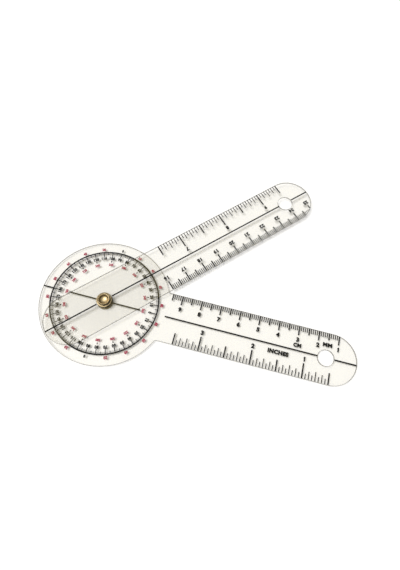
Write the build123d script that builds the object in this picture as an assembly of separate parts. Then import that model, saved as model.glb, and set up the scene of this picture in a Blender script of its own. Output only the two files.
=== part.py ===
from build123d import *
import os
from math import ceil, floor, sqrt

# A clear plastic goniometer: a degree dial made in one with a fixed rule arm, and a
# second rule arm that turns on a brass rivet through the middle of the dial.
# The origin is on the rivet's axis at its rear face. +X runs along the fixed arm to
# its tip, and +Z points out of the printed side. Millimetres and degrees throughout.

# Plates
arm_reach = 127.5               # rivet to the tip of either arm, so both together read 255
arm_width = 25.4
disc_radius = 32.5
fixed_plate_thickness = 1.0
moving_plate_thickness = 1.0
tail_inset = 0.8                # the moving arm's tail stops this far inside the disc's edge
root_fillet = 1.2               # where the fixed arm's edges run into the disc
plate_edge_break = 0.12         # the cut edges are polished, not sharp
hang_hole_diameter = 8.0
hang_hole_from_tip = 15.24
rest_angle = 46.0               # the moving arm as it lies in the photograph

# Rivet and washers
rivet_head_overhang = 1.5       # beyond the shank
rivet_head_thickness = 0.6
rivet_head_bevel = 0.25
rivet_shank_diameter = 5.0
rivet_tube_wall = 0.5
rivet_roll_overhang = 0.7       # how far the rolled end spreads beyond the shank
rivet_roll_height = 1.3
rivet_roll_round = 0.45
rivet_mouth_depth = 0.6         # from the crest of the roll down its funnel to the bore
rivet_bore_depth = 1.5          # from the crest to where the drilled point begins
rivet_point_depth = 0.6
friction_washer_width = 1.47    # from its bore to its edge
friction_washer_thickness = 0.25
front_washer_width = 1.37
front_washer_thickness = 0.7
front_washer_bevel = 0.15
fixed_bore_clearance = 0.03     # radial, at the parts that stay still on the shank
running_clearance = 0.06        # radial, at the bore of the moving arm
end_play = 0.02                 # axial, on each side of the moving arm

# Print: every mark is one thin layer of ink on the face of a plate
ink_thickness = 0.03
cm_pitch = 10.0
inch_pitch = 25.4
bold_mark = 0.68
fine_mark = 0.42
line_width = 0.74
mark_margin = 0.15              # bare strip between a mark and the edge of the plate
shortest_mark = 0.4             # marks cut shorter than this by the round tip are left out
cm_mark_length = 5.0
half_cm_mark_length = 3.7
mm_mark_length = 2.7
inch_mark_length = 7.35
half_inch_mark_length = 5.8
quarter_mark_length = 4.7
eighth_mark_length = 4.0
sixteenth_mark_length = 2.7
first_cm_on_fixed_arm = 1
hub_print_gap = 0.3             # the print stops this far outside a washer

# Dial
circle_inset = 5.5              # from the disc's edge to the middle of the printed circle
circle_width = 0.72
ten_degree_mark_length = 2.3
five_degree_mark_length = 1.15
degree_mark_length = 0.9
ten_degree_mark_width = 0.44
five_degree_mark_width = 0.34
degree_mark_width = 0.13
dash_inset = 5.3                # from the printed circle in to the dashes over the inner numbers
dash_length = 0.8
dash_width = 0.55
bare_band_width = 5.9           # left bare inside the ten-degree marks for two rows of numbers
arm_line_start_gap = 1.3        # inside the disc's edge, where the arm's own line begins

# Sizes that follow from those above
half_width = arm_width / 2
tip_centre = arm_reach - half_width
hang_hole_reach = arm_reach - hang_hole_from_tip
tail_reach = disc_radius - tail_inset
root_reach = sqrt(disc_radius**2 - half_width**2) + root_fillet
circle_radius = disc_radius - circle_inset
shank_radius = rivet_shank_diameter / 2
still_bore_radius = shank_radius + fixed_bore_clearance
friction_washer_radius = still_bore_radius + friction_washer_width
front_washer_radius = still_bore_radius + front_washer_width
fixed_plate_z = rivet_head_thickness
fixed_face_z = fixed_plate_z + fixed_plate_thickness
moving_plate_z = fixed_face_z + friction_washer_thickness + end_play
moving_face_z = moving_plate_z + moving_plate_thickness
front_washer_z = moving_face_z + end_play
roll_z = front_washer_z + front_washer_thickness
rivet_top_z = roll_z + rivet_roll_height


def turned(solid):
    """A piece drawn along +X, swung to where the moving arm lies at rest."""
    return Rot(0, 0, rest_angle) * solid


def plate(outline, z, thickness, bore_radius):
    """A plate cut from clear sheet: its edges are polished, and its rivet hole is drilled square."""
    with BuildPart() as part:
        with BuildSketch(Plane.XY.offset(z)):
            add(outline)
            with Locations((hang_hole_reach, 0)):
                Circle(hang_hole_diameter / 2, mode=Mode.SUBTRACT)
        extrude(amount=thickness)
        chamfer(part.faces().filter_by(Axis.Z).edges(), length=plate_edge_break)
        with BuildSketch(Plane.XY.offset(z)):
            Circle(bore_radius)
        extrude(amount=thickness, mode=Mode.SUBTRACT)
    return part.part


def fixed_outline():
    """The disc and the arm in one piece, with a small fillet at each corner between them."""
    with BuildSketch() as sketch:
        Circle(disc_radius)
        with Locations((tip_centre / 2, 0)):
            Rectangle(tip_centre, arm_width)
        corners = sketch.vertices().filter_by(lambda v: v.X < tip_centre / 2 and abs(v.Y) > half_width / 2)
        fillet(corners, root_fillet)
        with Locations((tip_centre, 0)):
            Circle(half_width)
    return sketch.sketch


def moving_outline():
    """A strip with two round ends: a long arm on one side of the rivet, a short tail on the other."""
    tail_centre = half_width - tail_reach
    with BuildSketch() as sketch:
        with Locations(((tip_centre + tail_centre) / 2, 0)):
            Rectangle(tip_centre - tail_centre, arm_width)
        with Locations((tip_centre, 0), (tail_centre, 0)):
            Circle(half_width)
    return sketch.sketch


def washer(z, thickness, radius, bevel=0):
    """A flat ring on the shank, with its outer top edge bevelled if asked."""
    with BuildPart() as part:
        with BuildSketch(Plane.XY.offset(z)):
            Circle(radius)
            Circle(still_bore_radius, mode=Mode.SUBTRACT)
        extrude(amount=thickness)
        if bevel:
            rims = part.edges().filter_by(GeomType.CIRCLE).sort_by(SortBy.RADIUS)[-2:]
            chamfer(rims.sort_by(Axis.Z)[-1], length=bevel)
    return part.part


def rivet():
    """A semi-tubular rivet: flat rear head, shank, and a hollow end rolled out over the washer."""
    head_radius = shank_radius + rivet_head_overhang
    bore_radius = shank_radius - rivet_tube_wall
    roll_radius = shank_radius + rivet_roll_overhang
    bead = min(rivet_roll_round, rivet_roll_height, roll_radius - bore_radius)
    crest = (roll_radius - bead, rivet_top_z)
    shoulder = (roll_radius, rivet_top_z - bead)
    with BuildPart() as part:
        with BuildSketch(Plane.XZ):
            with BuildLine():
                Polyline(
                    crest,
                    (bore_radius, rivet_top_z - rivet_mouth_depth),
                    (bore_radius, rivet_top_z - rivet_bore_depth),
                    (0, rivet_top_z - rivet_bore_depth - rivet_point_depth),
                    (0, 0),
                    (head_radius - rivet_head_bevel, 0),
                    (head_radius, rivet_head_bevel),
                    (head_radius, rivet_head_thickness),
                    (shank_radius, rivet_head_thickness),
                    (shank_radius, roll_z),
                    (roll_radius, roll_z),
                    shoulder,
                )
                JernArc(shoulder, (0, 1), bead, 90)
            make_face()
        revolve(axis=Axis.Z)
    return part.part


def ink_bar(x0, x1, y0, y1, z):
    """One straight mark, from corner to corner, lying on the face at height z."""
    bar = Box(x1 - x0, y1 - y0, ink_thickness, align=(Align.MIN, Align.MIN, Align.MIN))
    return Pos(x0, y0, z) * bar


def edge_mark(reach, side, length, width, z):
    """A scale mark that runs in from an arm's edge (side +1 or -1), cut short by the round tip."""
    past_straight = max(0, reach + width / 2 - tip_centre)
    outer = sqrt(max(0, half_width**2 - past_straight**2)) - mark_margin
    inner = half_width - length
    if outer - inner < shortest_mark:
        return []
    low, high = sorted((side * inner, side * outer))
    return [ink_bar(reach - width / 2, reach + width / 2, low, high, z)]


def cm_mark(step):
    """Length and width of the mark at a whole number of millimetres."""
    if step % 10 == 0:
        return cm_mark_length, bold_mark
    if step % 5 == 0:
        return half_cm_mark_length, bold_mark
    return mm_mark_length, fine_mark


def inch_mark(step):
    """Length and width of the mark at a whole number of sixteenths."""
    if step % 16 == 0:
        return inch_mark_length, bold_mark
    if step % 8 == 0:
        return half_inch_mark_length, bold_mark
    if step % 4 == 0:
        return quarter_mark_length, fine_mark
    if step % 2 == 0:
        return eighth_mark_length, fine_mark
    return sixteenth_mark_length, fine_mark


def fixed_cm_scale():
    """Centimetres counted inwards from the tip, as far as the disc."""
    division = cm_pitch / 10
    last = floor((arm_reach - root_reach) / division / 5) * 5
    marks = []
    for step in range(first_cm_on_fixed_arm * 10, last + 1):
        marks += edge_mark(arm_reach - step * division, 1, *cm_mark(step), fixed_face_z)
    return marks


def fixed_inch_scale():
    """Inches counted inwards from the tip, from the first half inch to the last before the disc."""
    division = inch_pitch / 16
    first = ceil(half_width / division / 8 - 1e-6) * 8
    last = floor((arm_reach - root_reach) / division / 8) * 8
    marks = []
    for step in range(first, last + 1):
        marks += edge_mark(arm_reach - step * division, -1, *inch_mark(step), fixed_face_z)
    return marks


def moving_cm_scale():
    """Centimetres that carry on from the fixed arm's, so the two arms opened flat read as one rule."""
    division = cm_pitch / 10
    first = ceil((arm_reach + root_reach) / division / 10) * 10
    last = floor(2 * arm_reach / division)
    marks = []
    for step in range(first, last + 1):
        marks += edge_mark(step * division - arm_reach, -1, *cm_mark(step), moving_face_z)
    return marks


def moving_inch_scale():
    """Inches that carry on from the fixed arm's, up to the last half inch before the round tip."""
    division = inch_pitch / 16
    first = ceil((arm_reach + root_reach) / division / 8) * 8
    last = floor((arm_reach + tip_centre) / division / 8 + 1e-6) * 8
    marks = []
    for step in range(first, last + 1):
        marks += edge_mark(step * division - arm_reach, 1, *inch_mark(step), moving_face_z)
    return marks


def centre_line(spans, z):
    """Lengths of one straight line along the middle of an arm."""
    return [ink_bar(start, end, -line_width / 2, line_width / 2, z) for start, end in spans]


def beyond_hole():
    """Where an arm's middle line stops before its hanging hole, starts again after it, and ends."""
    hole_clear = hang_hole_diameter / 2 + mark_margin
    return hang_hole_reach - hole_clear, hang_hole_reach + hole_clear, arm_reach - 2 * mark_margin


def fixed_line_spans():
    """The fixed arm's line: across the disc, bare at the rivet and the rows of numbers, then to the tip."""
    circle_outer = circle_radius + circle_width / 2
    numbers_inner = circle_outer - circle_width - ten_degree_mark_length - bare_band_width
    hub = friction_washer_radius + hub_print_gap
    before_hole, after_hole, end = beyond_hole()
    return [
        (mark_margin - disc_radius, -circle_outer),
        (-numbers_inner, -hub),
        (hub, numbers_inner),
        (disc_radius - arm_line_start_gap, before_hole),
        (after_hole, end),
    ]


def moving_line_spans():
    """The moving arm's line: from the tail to the tip, bare under the washer and at the hole."""
    hub = front_washer_radius + hub_print_gap
    before_hole, after_hole, end = beyond_hole()
    return [(mark_margin - tail_reach, -hub), (hub, before_hole), (after_hole, end)]


def dial():
    """The degree circle, a mark inside it for each degree, and a dash over each inner number."""
    inner = circle_radius - circle_width / 2
    with BuildPart() as ring:
        with BuildSketch(Plane.XY.offset(fixed_face_z)):
            Circle(circle_radius + circle_width / 2)
            Circle(inner, mode=Mode.SUBTRACT)
        extrude(amount=ink_thickness)
    marks = [ring.part]
    for degree in range(360):
        length, width = degree_mark_length, degree_mark_width
        if degree % 10 == 0:
            length, width = ten_degree_mark_length, ten_degree_mark_width
        elif degree % 5 == 0:
            length, width = five_degree_mark_length, five_degree_mark_width
        touching = sqrt(inner**2 - (width / 2) ** 2)
        bar = ink_bar(touching - length, touching, -width / 2, width / 2, fixed_face_z)
        marks.append(Rot(0, 0, degree) * bar)
    outer = circle_radius - dash_inset + dash_length / 2
    for degree in range(20, 360, 20):
        if degree != 180:
            dash = ink_bar(outer - dash_length, outer, -dash_width / 2, dash_width / 2, fixed_face_z)
            marks.append(Rot(0, 0, degree) * dash)
    return marks


def make_nodes():
    """Every piece by name, where it lies at rest."""
    moving_bore = shank_radius + running_clearance
    moving_plate = plate(moving_outline(), moving_plate_z, moving_plate_thickness, moving_bore)
    return {
        "fixed_arm": plate(fixed_outline(), fixed_plate_z, fixed_plate_thickness, still_bore_radius),
        "moving_arm": turned(moving_plate),
        "pivot_rivet": rivet(),
        "friction_washer": washer(fixed_face_z, friction_washer_thickness, friction_washer_radius),
        "front_washer": washer(
            front_washer_z, front_washer_thickness, front_washer_radius, front_washer_bevel
        ),
        "dial_graduations": Compound(children=dial()),
        "fixed_arm_cm_scale": Compound(children=fixed_cm_scale()),
        "fixed_arm_inch_scale": Compound(children=fixed_inch_scale()),
        "fixed_arm_centre_line": Compound(children=centre_line(fixed_line_spans(), fixed_face_z)),
        "moving_arm_cm_scale": turned(Compound(children=moving_cm_scale())),
        "moving_arm_inch_scale": turned(Compound(children=moving_inch_scale())),
        "moving_arm_index_line": turned(
            Compound(children=centre_line(moving_line_spans(), moving_face_z))
        ),
    }


os.makedirs("parts", exist_ok=True)
for name, shape in make_nodes().items():
    export_step(shape, f"parts/{name}.step")
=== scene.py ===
# %% [markdown]
# # A clear plastic goniometer
# The real thing is a joint-angle rule: a printed dial made in one with a fixed arm, and a second arm
# that turns on a brass rivet. The CAD model already holds every plate, tick and washer in its place.
# This script loads it, gives it its finishes, adds the lettering and the rolled metalwork, and sets up
# the camera, the floor and the light. Everything is in metres, in the CAD model's own frame.

# %% Load the CAD model
import math

import bmesh
import bpy
from mathutils import Matrix, Vector


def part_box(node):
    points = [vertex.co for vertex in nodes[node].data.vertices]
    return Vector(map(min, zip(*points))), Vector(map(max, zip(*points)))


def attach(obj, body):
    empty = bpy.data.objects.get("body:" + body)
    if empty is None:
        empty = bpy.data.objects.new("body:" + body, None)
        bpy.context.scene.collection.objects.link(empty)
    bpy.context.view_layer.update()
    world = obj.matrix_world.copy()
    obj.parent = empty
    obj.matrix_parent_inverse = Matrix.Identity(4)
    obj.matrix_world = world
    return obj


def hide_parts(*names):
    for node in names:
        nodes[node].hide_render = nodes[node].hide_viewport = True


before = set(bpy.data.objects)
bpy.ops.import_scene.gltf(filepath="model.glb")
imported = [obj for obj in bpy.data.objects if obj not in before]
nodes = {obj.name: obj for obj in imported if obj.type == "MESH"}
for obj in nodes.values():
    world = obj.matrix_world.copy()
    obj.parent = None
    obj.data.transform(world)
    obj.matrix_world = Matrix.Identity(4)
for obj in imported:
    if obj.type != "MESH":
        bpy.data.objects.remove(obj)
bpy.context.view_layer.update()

MM = 0.001
print("nodes:", sorted(nodes))

# %% [markdown]
# ## The camera
# The photograph was taken from close by with a short lens, a little to the fixed arm's side. A camera
# was fitted to sixty of the printed marks, whose real places are known, so it can be written down as a
# place and three directions. A matrix whose columns are right, up and backwards sets it at once, with
# no guessing at angles.

# %% Camera
CAMERA_AT = Vector((0.056179, -0.052759, 0.18825))
CAMERA_LOOKS = Vector((-0.06065, 0.36612, -0.92859)).normalized()
CAMERA_UP = Vector((-0.24276, 0.89696, 0.3695))
PHOTO_LENS = 24.704

right = CAMERA_LOOKS.cross(CAMERA_UP).normalized()
up = right.cross(CAMERA_LOOKS)
camera_data = bpy.data.cameras.new("photo_camera")
camera_data.lens = PHOTO_LENS
camera_data.sensor_width = 36.0
camera_data.sensor_fit = "AUTO"
camera_data.clip_start = 0.002
camera_data.clip_end = 20.0
camera = bpy.data.objects.new("photo_camera", camera_data)
bpy.context.scene.collection.objects.link(camera)
turn = Matrix((right, up, -CAMERA_LOOKS)).transposed().to_4x4()
camera.matrix_world = Matrix.Translation(CAMERA_AT) @ turn
bpy.context.scene.camera = camera
bpy.context.scene.view_settings.view_transform = "Standard"
print("camera", [round(c, 4) for c in CAMERA_AT], "lens", PHOTO_LENS)

# %% [markdown]
# ## Shader sums in plain Python
# A finish is mostly arithmetic: this mask times that noise, one minus something. Wiring Math nodes by
# hand hides the sum, so a small class wraps one output socket and turns +, -, * and ** into Math
# nodes. Every other node comes from its one method, node(), which sets the node's settings first and
# then fills its sockets with numbers or wires.

# %% A wire, and a new finish
class Wire:
    """One output socket of a shader. Sums written with it add Math nodes."""

    def __init__(self, tree, socket=None):
        self.tree = tree
        self.socket = socket

    def node(self, kind, settings=None, sockets=None, out=0):
        made = self.tree.nodes.new(kind)
        for name, value in (settings or {}).items():
            setattr(made, name, value)
        for name, value in (sockets or {}).items():
            if isinstance(value, Wire):
                self.tree.links.new(value.socket, made.inputs[name])
            else:
                made.inputs[name].default_value = value
        return Wire(self.tree, made.outputs[out])

    def sum(self, operation, first, second):
        return self.node("ShaderNodeMath", {"operation": operation}, {0: first, 1: second})

    def __add__(self, other):
        return self.sum("ADD", self, other)

    def __radd__(self, other):
        return self.sum("ADD", other, self)

    def __sub__(self, other):
        return self.sum("SUBTRACT", self, other)

    def __rsub__(self, other):
        return self.sum("SUBTRACT", other, self)

    def __mul__(self, other):
        return self.sum("MULTIPLY", self, other)

    def __rmul__(self, other):
        return self.sum("MULTIPLY", other, self)

    def __pow__(self, other):
        return self.sum("POWER", self, other)

    def __abs__(self):
        return self.sum("ABSOLUTE", self, 0.0)

    def fade(self, low, high):
        """0 where the wire is at low or beyond, 1 at high, and smooth between."""
        settings = {"interpolation_type": "SMOOTHSTEP"}
        sockets = {"Value": self, "From Min": low, "From Max": high}
        return self.node("ShaderNodeMapRange", settings, sockets)

    def blend(self, colour_a, colour_b):
        """Colour a where the wire is 0, colour b where it is 1."""
        return self.node("ShaderNodeMix", {"data_type": "RGBA"}, {0: self, 6: colour_a, 7: colour_b}, 2)


def colour(red, green, blue):
    return (red, green, blue, 1.0)


def new_finish(name):
    """A material with a Principled shader, and an empty wire to start its sums from."""
    material = bpy.data.materials.new(name)
    material.use_nodes = True
    tree = material.node_tree
    return material, Wire(tree), tree.nodes["Principled BSDF"]


def plug(wire, skin, socket):
    wire.tree.links.new(wire.socket, skin.inputs[socket])


# %% [markdown]
# ## The floor
# The photograph's background is burnt out to plain white, and the plates, their edges and their print
# still throw pale shadows on it. So the floor is a real, pale, matt surface that takes those shadows,
# and a little glow is added to it for the camera, for reflections and for rays through clear things.
# The glow lights nothing, so the object itself stays at a plain exposure. The floor lies a fiftieth of
# a millimetre under the rivet's rear head, so that the two faces never share one plane.

# %% Floor
FLOOR_SIDE = 6.0
FLOOR_MIDDLE = (0.04, 0.02, -0.00002)
FLOOR_COLOUR = (0.965, 0.965, 0.965)
FLOOR_GLOW = 0.16


def seen_directly(start):
    """1 for rays from the camera, for reflections and for rays through clear things."""
    looks = start.node("ShaderNodeLightPath", out="Is Camera Ray")
    shines = start.node("ShaderNodeLightPath", out="Is Glossy Ray")
    passes = start.node("ShaderNodeLightPath", out="Is Transmission Ray")
    return start.sum("MAXIMUM", start.sum("MAXIMUM", looks, shines), passes)


shape = bmesh.new()
bmesh.ops.create_grid(shape, x_segments=1, y_segments=1, size=FLOOR_SIDE / 2)
floor_mesh = bpy.data.meshes.new("floor")
shape.to_mesh(floor_mesh)
shape.free()
floor = bpy.data.objects.new("floor", floor_mesh)
bpy.context.scene.collection.objects.link(floor)
floor.location = FLOOR_MIDDLE

floor_finish, start, skin = new_finish("floor_paper")
skin.inputs["Base Color"].default_value = colour(*FLOOR_COLOUR)
skin.inputs["Roughness"].default_value = 1.0
skin.inputs["Specular IOR Level"].default_value = 0.0
skin.inputs["Emission Color"].default_value = colour(1, 1, 1)
plug(seen_directly(start) * FLOOR_GLOW, skin, "Emission Strength")
floor_mesh.materials.append(floor_finish)
print("floor", FLOOR_SIDE, "m wide")

# %% [markdown]
# ## The light
# One soft light stands to the left of the photograph, high up: the print's shadows lie to the right of
# the print, nearly half as far as the print is high. In a studio this is a large round soft box, far
# enough off to light the whole table evenly. A sun lamp with a wide disc does the same without
# falling off across the floor. Its width blurs the shadows of the print and keeps the rivet's own. Its
# energy is worked out so that its share of the light that falls on the floor is a plain number.

# %% Soft light
LIGHT_GOES = Vector((0.97, 0.24, 0.0)).normalized()
LIGHT_TILT = math.radians(24)
LIGHT_WIDTH = math.radians(34)
LIGHT_SHARE = 0.79
LIGHT_COLOUR = (1.0, 0.985, 0.96)

towards_light = -LIGHT_GOES * math.sin(LIGHT_TILT) + Vector((0, 0, math.cos(LIGHT_TILT)))
soft_light = bpy.data.lights.new("soft_light", "SUN")
soft_light.angle = LIGHT_WIDTH
soft_light.energy = math.pi * LIGHT_SHARE / math.cos(LIGHT_TILT)
soft_light.color = LIGHT_COLOUR
lamp = bpy.data.objects.new("soft_light", soft_light)
bpy.context.scene.collection.objects.link(lamp)
lamp.location = towards_light
lamp.rotation_euler = towards_light.to_track_quat("Z", "Y").to_euler()
print("soft light", round(math.degrees(LIGHT_WIDTH)), "degrees wide, energy", round(soft_light.energy, 2))

# %% [markdown]
# ## The room
# The rest of the light comes from all round, and fills the shadows in with about a quarter of the
# lamp's strength. Seen directly the room is plain white, like the photograph's background. Brass in a
# plain white room would look plain white too, and a real room is dimmer on the sides away from the
# lamp. So for reflections alone the room fades there, which gives the rolled rivet its dark flanks.

# %% World
SKY_LIGHT = 0.2
DIM_FROM = 0.9
DIMMEST_AT = 0.2
DIMMING = 0.85

world = bpy.data.worlds.new("studio")
bpy.context.scene.world = world
world.use_nodes = True
start = Wire(world.node_tree)
sky = world.node_tree.nodes["Background"]
sky.inputs["Color"].default_value = colour(1.0, 1.0, 1.0)
towards = start.node("ShaderNodeTexCoord", out="Generated")
sides = {0: towards, 1: tuple(towards_light)}
light_side = start.node("ShaderNodeVectorMath", {"operation": "DOT_PRODUCT"}, sides, "Value")
far_side = 1.0 - light_side.fade(DIMMEST_AT, DIM_FROM)
reflected = start.node("ShaderNodeLightPath", out="Is Glossy Ray")
dim = 1.0 - reflected * far_side * DIMMING
plug((seen_directly(start) * (1.0 - SKY_LIGHT) + SKY_LIGHT) * dim, sky, "Strength")
print("room light", SKY_LIGHT, "from all round")

# %% [markdown]
# ## Clear plastic sheet
# Polished acrylic lets about nine tenths of the light through and mirrors the rest, more so at a low
# angle. Real glass shaders would need light traced through every face, and would leave the print
# without shadows. Here each face is nearly all see-through instead, with a thin film on it that holds
# back a little light. The film is warm, because the sheet is faintly yellow, and its share rises at
# low angles. The sawn and polished edges are another matter: light runs along inside the sheet and
# leaves there, so they look olive brown and much denser, and that dark look is painted shade in their
# colour and share. They are found by the way their faces point, which the bevels share in part. A faint
# haze and hairline scratches, drawn out one way, break up the gloss. The washer between the plates has
# the same finish, only milkier.

# %% Clear sheet finish
FACE_UPRIGHT = 0.97
EDGE_UPRIGHT = 0.72
MIRROR_POWER = 5.0
MIRROR_SHARE = 0.7
ACRYLIC_IOR = 1.49
HAZE_SCALE = 55.0
SCRATCH_STRETCH = (900.0, 60.0, 200.0)
SCRATCHED = (0.66, 0.74)


def clear_sheet(name, film, edge_film, face_colour, edge_shade_colour):
    material, start, skin = new_finish(name)
    place = start.node("ShaderNodeTexCoord", out="Object")
    facing = start.node("ShaderNodeTexCoord", out="Normal")
    upright = abs(start.node("ShaderNodeSeparateXYZ", sockets={0: facing}, out="Z"))
    edge = upright.fade(FACE_UPRIGHT, EDGE_UPRIGHT)
    mirror = start.node("ShaderNodeLayerWeight", sockets={"Blend": 0.5}, out="Facing") ** MIRROR_POWER
    haze_sockets = {"Vector": place, "Scale": HAZE_SCALE, "Detail": 3.0}
    haze = start.node("ShaderNodeTexNoise", sockets=haze_sockets)
    drawn_out = start.node("ShaderNodeMapping", sockets={"Vector": place, "Scale": SCRATCH_STRETCH})
    hair = start.node("ShaderNodeTexNoise", sockets={"Vector": drawn_out, "Scale": 1.0, "Detail": 2.0})
    scratch = hair.fade(*SCRATCHED)
    # The edges' dark olive tint is painted shade.
    tint = edge.blend(colour(*face_colour), colour(*edge_shade_colour))
    plug(tint, skin, "Base Color")
    plug(0.06 + haze * 0.08 + scratch * 0.12, skin, "Roughness")
    share = film + haze * (film * 0.2) + scratch * 0.004 + mirror * MIRROR_SHARE
    plug(start.sum("MAXIMUM", share, edge * edge_film), skin, "Alpha")
    skin.inputs["IOR"].default_value = ACRYLIC_IOR
    dents = {"Strength": 0.06, "Distance": 0.0002, "Height": scratch}
    plug(start.node("ShaderNodeBump", sockets=dents), skin, "Normal")
    return material


def dress(node, finish):
    """The node's mesh in one finish, in place of any it came with."""
    node.data.materials.clear()
    node.data.materials.append(finish)


sheet = clear_sheet("clear_sheet", film=0.048, edge_film=0.6,
                    face_colour=(0.46, 0.38, 0.10), edge_shade_colour=(0.075, 0.058, 0.02))
milky = clear_sheet("clear_washer", film=0.16, edge_film=0.5,
                    face_colour=(0.86, 0.86, 0.82), edge_shade_colour=(0.45, 0.43, 0.36))
dress(nodes["fixed_arm"], sheet)
dress(nodes["moving_arm"], sheet)
dress(nodes["friction_washer"], milky)
print("clear sheet on", sheet.users, "plates")

# %% [markdown]
# ## Printed ink
# The scales are screen printed: a thin, matt, slightly uneven layer. The black is not quite black, and
# varies a little from place to place as the squeegee laid it. The red is a thinner coat, so the light
# sheet behind it shows a little in its colour. Fine noise in the colour and in the surface says
# both, at the scale of the screen's mesh.

# %% Ink finishes
PATCH_SCALE = 420.0
MESH_SCALE = 9000.0
THINLY_LAID = (0.38, 0.72)
PATCHINESS = 0.8
INK_SHINE = 0.12


def ink(name, deep, thin_coat):
    material, start, skin = new_finish(name)
    place = start.node("ShaderNodeTexCoord", out="Object")
    patch_sockets = {"Vector": place, "Scale": PATCH_SCALE, "Detail": 2.0}
    broad = start.node("ShaderNodeTexNoise", sockets=patch_sockets)
    grain_sockets = {"Vector": place, "Scale": MESH_SCALE, "Detail": 1.0}
    grain = start.node("ShaderNodeTexNoise", sockets=grain_sockets)
    worn = (broad * 0.6 + grain * 0.4).fade(*THINLY_LAID)
    plug((worn * PATCHINESS).blend(colour(*deep), colour(*thin_coat)), skin, "Base Color")
    plug(0.55 + grain * 0.2, skin, "Roughness")
    skin.inputs["Specular IOR Level"].default_value = INK_SHINE
    dents = {"Strength": 0.2, "Distance": 0.00001, "Height": grain}
    plug(start.node("ShaderNodeBump", sockets=dents), skin, "Normal")
    return material


black_ink = ink("black_ink", deep=(0.008, 0.008, 0.007), thin_coat=(0.035, 0.034, 0.031))
red_ink = ink("red_ink", deep=(0.36, 0.02, 0.06), thin_coat=(0.50, 0.08, 0.14))
for name, node in nodes.items():
    if any(word in name for word in ("scale", "line", "graduations")):
        dress(node, black_ink)
print("ink layers:", black_ink.users, "nodes")

# %% [markdown]
# ## Lettering
# The numbers are printed with the ticks, in a plain bold sans. Blender's own font serves: a text
# object is thickened, and its letters are spaced out to match. It is made a mesh, set to the printed
# height and as thin as the ink, and only then laid in its place on the plate. All numbers of one print
# layer are joined into one piece, because on the object they are one layer too.

# %% A layer of lettering
PRINT_THICKNESS = 0.03 * MM
FIXED_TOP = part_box("fixed_arm")[1].z
MOVING_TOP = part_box("moving_arm")[1].z
LETTER_SWELL = 0.03
DIGIT_STEP = 0.5
FLAG = ((0.27, 0.69), (0.27, 0.53), (0.05, 0.43), (0.05, 0.58))


def add_flags(shape, words, step):
    """This font's 1 is a plain bar, so each 1 gets the small flag that the printed one has."""
    for count, digit in enumerate(words):
        if digit == "1":
            corners = [shape.verts.new((count * step + x, y, -0.5)) for x, y in FLAG]
            risen = bmesh.ops.extrude_face_region(shape, geom=[shape.faces.new(corners)])
            top = [v for v in risen["geom"] if isinstance(v, bmesh.types.BMVert)]
            bmesh.ops.translate(shape, verts=top, vec=(0, 0, 1))


def spacing(bold):
    """Thickened letters need more room between them."""
    return 1.02 + 2.4 * bold


def letter_mesh(words, bold):
    """The words as a filled mesh, one unit thick, with their foot on the x axis."""
    text = bpy.data.curves.new("words", "FONT")
    text.body = words
    text.resolution_u = 3
    text.offset = LETTER_SWELL
    text.bevel_depth = bold
    text.bevel_resolution = 0
    text.space_character = spacing(bold)
    text.extrude = 0.5
    text.align_x = "LEFT"
    made = bpy.data.objects.new("words", text)
    bpy.context.scene.collection.objects.link(made)
    bpy.context.view_layer.update()
    mesh = bpy.data.meshes.new_from_object(made.evaluated_get(bpy.context.evaluated_depsgraph_get()))
    bpy.data.objects.remove(made)
    bpy.data.curves.remove(text)
    shape = bmesh.new()
    shape.from_mesh(mesh)
    add_flags(shape, words, DIGIT_STEP * spacing(bold))
    shape.to_mesh(mesh)
    shape.free()
    return mesh


def extent(mesh, axis):
    along = [v.co[axis] for v in mesh.vertices]
    return min(along), max(along)


class Layer:
    """One printed layer of numbers on one plate, gathered into one mesh."""

    def __init__(self, name, top, bold):
        self.name = name
        self.top = top
        self.bold = bold
        self.shape = bmesh.new()
        nought = letter_mesh("0", bold)
        low, high = extent(nought, 1)
        self.tall = high - low
        self.base = (high + low) / 2
        self.thick = 2 * extent(nought, 2)[1]

    def add(self, words, x, y, turn, height, wide=1.0):
        """Words centred on x, y, turned by an angle, with digits of a height. Wide is their stretch."""
        mesh = letter_mesh(words, self.bold)
        left, right_end = extent(mesh, 0)
        size = height * MM / self.tall
        to_middle = Matrix.Translation((-(left + right_end) / 2, -self.base, 0))
        to_size = Matrix.Diagonal((size * wide, size, PRINT_THICKNESS / self.thick, 1))
        lay = Matrix.Rotation(turn, 4, "Z")
        put = Matrix.Translation((x * MM, y * MM, self.top + PRINT_THICKNESS / 2))
        mesh.transform(put @ lay @ to_size @ to_middle)
        self.shape.from_mesh(mesh)
        bpy.data.meshes.remove(mesh)

    def finish(self, ink_finish, slot, body):
        bmesh.ops.remove_doubles(self.shape, verts=self.shape.verts, dist=1e-7)
        bmesh.ops.recalc_face_normals(self.shape, faces=self.shape.faces)
        mesh = bpy.data.meshes.new(self.name)
        self.shape.to_mesh(mesh)
        self.shape.free()
        mesh.materials.append(ink_finish)
        made = bpy.data.objects.new(self.name, mesh)
        bpy.context.scene.collection.objects.link(made)
        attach(made, body)
        print(self.name, len(mesh.polygons), "faces")


# %% [markdown]
# ### The dial's numbers
# Three rings. The black ring counts from nought at the fixed arm to 180 both ways round. Inside it a
# red ring gives what is left of 360, every 20 degrees, and outside the circle a red ring gives the
# angle from a right angle, with its two noughts in black. Every number stands with its top outwards.

# %% Dial numbers
BLACK_RING = 23.5
INNER_RED_RING = 20.0
OUTER_RED_RING = 28.7


def around(layer, words, radius, degrees, height, wide):
    angle = math.radians(degrees)
    x = radius * math.cos(angle)
    y = radius * math.sin(angle)
    layer.add(words, x, y, angle - math.pi / 2, height, wide)


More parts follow.
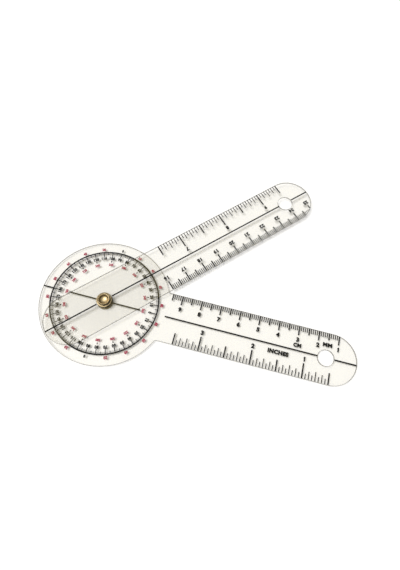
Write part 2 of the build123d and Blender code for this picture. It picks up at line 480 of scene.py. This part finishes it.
dial_black = Layer("dial_numbers_black", FIXED_TOP, bold=0.05)
dial_red = Layer("dial_numbers_red", FIXED_TOP, bold=0.04)
for degrees in range(-170, 181, 10):
    around(dial_black, str(abs(degrees)), BLACK_RING, degrees, height=1.8, wide=0.84)
for degrees in range(-160, 181, 20):
    around(dial_red, str(360 - abs(degrees)), INNER_RED_RING, degrees, height=1.45, wide=0.80)
for degrees in range(-170, 180, 20):
    from_square = abs(90 - abs(degrees))
    layer = dial_red if from_square else dial_black
    around(layer, str(from_square), OUTER_RED_RING, degrees, height=1.6, wide=0.85)
dial_black.finish(black_ink, "black_ink", "fixed")
dial_red.finish(red_ink, "red_ink", "fixed")

# %% [markdown]
# ### The arms' numbers
# Both arms share one rule, whose nought is at the fixed arm's tip: the fixed arm reads 1 to 9 cm and 1
# to 3 inches, and the moving arm carries on to 25 cm and 9 inches when the arms lie in one line. Its
# numbers therefore stand the other way up.

# %% Arm numbers
ARM_REACH = 127.5
CM = 10.0
INCH = 25.4
MOVING_ARM_AT = math.radians(46.0)
FIXED_CM_ROW = 5.4
FIXED_INCH_ROW = -3.3
MOVING_CM_ROW = -5.6
MOVING_INCH_ROW = 3.3

fixed_numbers = Layer("fixed_arm_numbers", FIXED_TOP, bold=0.045)
for count in range(1, 10):
    fixed_numbers.add(str(count), ARM_REACH - CM * count, FIXED_CM_ROW, turn=0.0, height=2.45)
for count in range(1, 4):
    fixed_numbers.add(str(count), ARM_REACH - INCH * count, FIXED_INCH_ROW, turn=0.0, height=2.45)
fixed_numbers.add("MM", 112.2, 6.5, turn=0.0, height=2.2, wide=1.12)
fixed_numbers.add("CM", 97.7, 2.6, turn=0.0, height=2.15)
fixed_numbers.add("INCHES", 89.2, FIXED_INCH_ROW, turn=0.0, height=2.35)
fixed_numbers.finish(black_ink, "black_ink", "fixed")

moving_numbers = Layer("moving_arm_numbers", MOVING_TOP, bold=0.045)


def on_moving_arm(words, along, across, height):
    x = along * math.cos(MOVING_ARM_AT) - across * math.sin(MOVING_ARM_AT)
    y = along * math.sin(MOVING_ARM_AT) + across * math.cos(MOVING_ARM_AT)
    moving_numbers.add(words, x, y, MOVING_ARM_AT + math.pi, height)


for count in range(16, 26):
    on_moving_arm(str(count), CM * count - ARM_REACH, MOVING_CM_ROW, height=2.25)
for count in range(7, 10):
    on_moving_arm(str(count), INCH * count - ARM_REACH, MOVING_INCH_ROW, height=2.3)
moving_numbers.finish(black_ink, "black_ink", "moving")

# %% [markdown]
# ## Brass
# The rivet and its washer are brass, with light and shade painted into its colour: light on the crests
# and on faces that point up, and darker down the sides and in the bowl, where they would be in shade.
# A little of that is wear and tarnish; most of it is painted shade. Height and the way a face points
# give the mask for that. Two more masks paint shade: on the outside of the roll, nearly to black,
# standing in for the dark side of the room it mirrors, and on the washer's outer ring, in the roll's
# shadow. They go by the distance from the rivet's axis, found from how far a point is from the rear
# head's middle and how high it is. Rings give the tool's faint turning marks, and fine noise breaks it
# all up.

# %% Brass finish
CREST = 4.89
WASHER_TOP = 3.59
ROLL_SIDE = (2.6 * MM, 2.85 * MM)
ROLL_FOOT = (3.65 * MM, 3.85 * MM)
WASHER_SHOULDER = (3.15 * MM, 3.4 * MM)
FACES_UP = (0.25, 0.8)
NEAR_CREST = (0.66, 0.95)
TARNISH_AND_SHADE_BRASS = (0.05, 0.034, 0.014)
RUBBED_AND_LIT_BRASS = (0.72, 0.57, 0.32)


def brass(name):
    material, start, skin = new_finish(name)
    place = start.node("ShaderNodeTexCoord", out="Object")
    facing = start.node("ShaderNodeTexCoord", out="Normal")
    upright = start.node("ShaderNodeSeparateXYZ", sockets={0: facing}, out="Z")
    height = start.node("ShaderNodeSeparateXYZ", sockets={0: place}, out="Z")
    mottle = start.node("ShaderNodeTexNoise", sockets={"Vector": place, "Scale": 900.0, "Detail": 4.0})
    rings = start.node("ShaderNodeTexWave", {"wave_type": "RINGS", "rings_direction": "Z"},
                       {"Vector": place, "Scale": 1500.0, "Distortion": 1.5, "Detail": 2.0})
    # Painted light and shade: faces that point up and parts near the crest come out lighter, the sides
    # and the bowl darker.
    rubbed_and_lit = (upright + (mottle - 0.5) * 0.4).fade(*FACES_UP)
    high_up = (height * (1 / (CREST * MM)) + (mottle - 0.5) * 0.15).fade(*NEAR_CREST)
    distance = start.node("ShaderNodeVectorMath", {"operation": "LENGTH"}, {0: place}, "Value")
    from_axis = (distance * distance - height * height) ** 0.5
    # Painted shade on the outside of the roll and on the washer's outer ring.
    flank_shade = from_axis.fade(*ROLL_SIDE) * height.fade(*ROLL_FOOT)
    shoulder_shade = from_axis.fade(*WASHER_SHOULDER)
    bright = rubbed_and_lit * (0.6 + high_up * 0.4) * (1.0 - flank_shade * 0.9) * (1.0 - shoulder_shade * 0.5)
    plug(bright.blend(colour(*TARNISH_AND_SHADE_BRASS), colour(*RUBBED_AND_LIT_BRASS)), skin, "Base Color")
    plug(0.46 - bright * 0.2 + mottle * 0.12, skin, "Roughness")
    plug(0.7 + bright * 0.25, skin, "Metallic")
    bumps = {"Strength": 0.25, "Distance": 0.00002, "Height": rings * 0.5 + mottle}
    plug(start.node("ShaderNodeBump", sockets=bumps), skin, "Normal")
    return material


rivet_brass = brass("rivet_brass")
# The brass's dark parts are mostly painted shade, only a little tarnish.
print("brass, tarnished where nothing rubs it")

# %% [markdown]
# ## The rolled rivet
# A tubular rivet is pushed through from behind and its open end is rolled outwards over a washer. Its
# section is one line from the rear head up the shank, over the rolled lip and down into the bowl. A
# few points give the section's corners, beveling those points rounds them, and one full spin about
# the rivet's axis makes the solid.

# %% Spin a rounded section
ROUNDING_STEPS = 7
TURN_STEPS = 96


def spun(name, section, closed, finish, slot, body, *replaced):
    """section: (radius mm, height mm, rounding mm) for each corner, turned about the rivet's axis."""
    shape = bmesh.new()
    corners = [shape.verts.new((r * MM, 0, z * MM)) for r, z, _ in section]
    pairs = list(zip(corners, corners[1:]))
    if closed:
        pairs.append((corners[-1], corners[0]))
    for pair in pairs:
        shape.edges.new(pair)
    for corner, (_, _, rounding) in zip(corners, section):
        if rounding:
            bmesh.ops.bevel(shape, geom=[corner], offset=rounding * MM, offset_type="OFFSET",
                            segments=ROUNDING_STEPS, profile=0.5, affect="VERTICES", material=-1)
    turned = list(shape.verts) + list(shape.edges)
    bmesh.ops.spin(shape, geom=turned, cent=(0, 0, 0), axis=(0, 0, 1), angle=2 * math.pi,
                   steps=TURN_STEPS, use_merge=True)
    bmesh.ops.remove_doubles(shape, verts=shape.verts, dist=1e-7)
    bmesh.ops.recalc_face_normals(shape, faces=shape.faces)
    mesh = bpy.data.meshes.new(name)
    shape.to_mesh(mesh)
    shape.free()
    for face in mesh.polygons:
        face.use_smooth = True
    mesh.materials.append(finish)
    made = bpy.data.objects.new(name, mesh)
    bpy.context.scene.collection.objects.link(made)
    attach(made, body)
    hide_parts(*replaced)
    print(name, len(mesh.polygons), "faces", [round(s / MM, 2) for s in made.dimensions])


RIVET_SECTION = [
    (0.0, 0.0, 0),
    (4.0, 0.0, 0.2),
    (4.0, 0.6, 0.25),
    (2.5, 0.6, 0),
    (2.5, WASHER_TOP, 0),
    (3.2, WASHER_TOP, 0.2),
    (3.2, CREST, 0.45),
    (2.65, CREST, 0.14),
    (2.1, 4.3, 0.3),
    (1.95, 3.6, 0.35),
    (1.1, 3.12, 0.5),
    (0.0, 3.05, 0),
]
spun("rolled_rivet", RIVET_SECTION, False, rivet_brass, "rivet_brass", "fixed", "pivot_rivet")

WASHER_BORE = 2.53
WASHER_RIM = 3.9
WASHER_FOOT = 2.89
WASHER_SECTION = [
    (WASHER_BORE, WASHER_FOOT, 0.08),
    (WASHER_RIM, WASHER_FOOT, 0.12),
    (WASHER_RIM, WASHER_TOP, 0.22),
    (WASHER_BORE, WASHER_TOP, 0.08),
]
spun("brass_washer", WASHER_SECTION, True, rivet_brass, "rivet_brass", "fixed", "front_washer")
